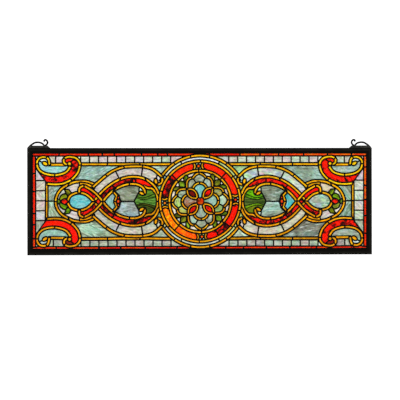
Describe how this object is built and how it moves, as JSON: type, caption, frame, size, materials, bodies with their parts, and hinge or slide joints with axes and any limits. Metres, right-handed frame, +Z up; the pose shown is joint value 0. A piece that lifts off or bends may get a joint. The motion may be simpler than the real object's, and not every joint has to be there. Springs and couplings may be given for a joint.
{
  "type": "stained glass window panel",
  "caption": "Wide leaded stained glass panel in a black metal channel frame, with scroll, interlace and rosette ornament, made to hang from two wire scroll hangers.",
  "frame": {"origin": "middle of the hanging line, halfway between the undersides of the two hanger arches", "axes": "+X to the right seen from the front, +Z up, the front faces -Y; the glass lies in the XZ plane"},
  "size_m": [0.889, 0.012, 0.2998],
  "materials": {
    "black_metal": "satin black patina",
    "solder": "dark patinated solder, slightly lumpy",
    "amber_glass": "glossy streaky translucent glass",
    "red_glass": "glossy mottled translucent glass",
    "pale_opal_glass": "satin opalescent glass",
    "green_opal_glass": "rippled streaky opalescent glass",
    "leaf_green_glass": "glossy streaky translucent glass",
    "blue_opal_glass": "glossy opalescent glass"
  },
  "bodies": {
    "root": {"frame_bottom": "black_metal", "frame_left": "black_metal", "frame_right": "black_metal", "frame_top": "black_metal", "green_field_lower_left": "green_opal_glass", "green_field_lower_right": "green_opal_glass", "green_field_upper_left": "green_opal_glass", "green_field_upper_right": "green_opal_glass", "hanger_left": "black_metal", "hanger_right": "black_metal", "heart_left": "blue_opal_glass", "heart_right": "blue_opal_glass", "jewel": "red_glass", "keyhole_petal_east": "blue_opal_glass", "keyhole_petal_north": "blue_opal_glass", "keyhole_petal_south": "blue_opal_glass", "keyhole_petal_west": "blue_opal_glass", "loop_green_field_lower_left": "green_opal_glass", "loop_green_field_lower_right": "green_opal_glass", "loop_green_field_upper_left": "green_opal_glass", "loop_green_field_upper_right": "green_opal_glass", "loop_pale_band_lower_left": "pale_opal_glass", "loop_pale_band_lower_right": "pale_opal_glass", "loop_pale_band_upper_left": "pale_opal_glass", "loop_pale_band_upper_right": "pale_opal_glass", "loop_red_band_lower_left": "red_glass", "loop_red_band_lower_right": "red_glass", "loop_red_band_upper_left": "red_glass", "loop_red_band_upper_right": "red_glass", "oval_drop_left": "blue_opal_glass", "oval_drop_right": "blue_opal_glass", "palmette_left": "leaf_green_glass", "palmette_right": "leaf_green_glass", "pointed_petal_east": "red_glass", "pointed_petal_north": "red_glass", "pointed_petal_south": "red_glass", "pointed_petal_west": "red_glass", "red_border": "red_glass", "red_ring_east": "red_glass", "red_ring_north": "red_glass", "red_ring_south": "red_glass", "red_ring_west": "red_glass", "scroll_blue_lower_left": "blue_opal_glass", "scroll_blue_lower_right": "blue_opal_glass", "scroll_blue_upper_left": "blue_opal_glass", "scroll_blue_upper_right": "blue_opal_glass", "scroll_red_lower_left": "red_glass", "scroll_red_lower_right": "red_glass", "scroll_red_upper_left": "red_glass", "scroll_red_upper_right": "red_glass", "side_green_field_left": "green_opal_glass", "side_green_field_right": "green_opal_glass", "side_tiles_left": "pale_opal_glass", "side_tiles_right": "pale_opal_glass", "strapwork_lattice": "amber_glass", "tile_row_lower_left": "pale_opal_glass", "tile_row_lower_right": "pale_opal_glass", "tile_row_upper_left": "pale_opal_glass", "tile_row_upper_right": "pale_opal_glass"}
  },
  "joints": []
}
